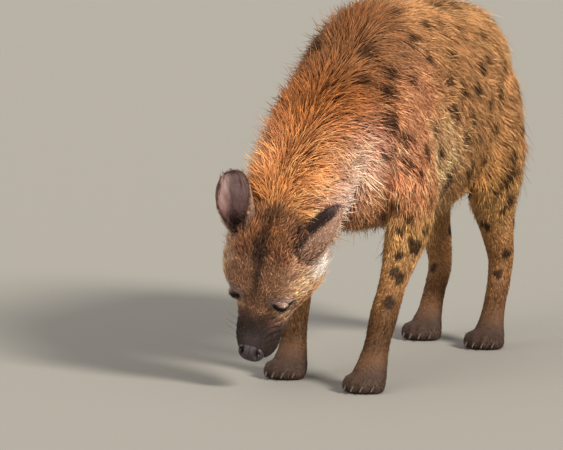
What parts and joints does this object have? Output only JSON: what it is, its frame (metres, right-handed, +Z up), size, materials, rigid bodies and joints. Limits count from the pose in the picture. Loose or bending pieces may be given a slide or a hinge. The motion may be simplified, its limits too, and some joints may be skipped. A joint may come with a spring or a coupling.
{
  "type": "spotted hyena",
  "caption": "Life-size spotted hyena as a still museum model, standing with braced forelegs and its head lowered to feed; shaggy spotted coat.",
  "frame": {"origin": "on the ground under the middle of the whole animal", "axes": "+Z up, -Y towards the nose, +X towards the animal's left side"},
  "size_m": [0.3418, 1.0482, 0.7853],
  "materials": {
    "coat_golden": "matt long fur, golden tan with dark spots",
    "coat_mane": "matt shaggy fur, rusty orange to cream",
    "coat_face": "matt short fur, grizzled brown with a dark muzzle",
    "coat_paw": "matt short fur, dark brown, with horn claws",
    "coat_tail": "matt long fur, nearly black brush",
    "ear_skin": "thin skin with fine short hair",
    "nose_skin": "moist pebbled skin",
    "eye": "wet gloss"
  },
  "bodies": {
    "root": {"eye_left": "eye", "eye_right": "eye", "nose": "nose_skin", "head": "coat_face", "lower_jaw": "coat_face", "ear_left": "ear_skin", "ear_right": "ear_skin", "torso": "coat_golden", "neck": "coat_mane", "foreleg_left": "coat_golden", "foreleg_right": "coat_golden", "hindleg_left": "coat_golden", "hindleg_right": "coat_golden", "foreshank_left": "coat_golden", "foreshank_right": "coat_golden", "hindshank_left": "coat_golden", "hindshank_right": "coat_golden", "forepaw_left": "coat_paw", "forepaw_right": "coat_paw", "hindpaw_left": "coat_paw", "hindpaw_right": "coat_paw", "tail": "coat_tail"}
  },
  "joints": []
}
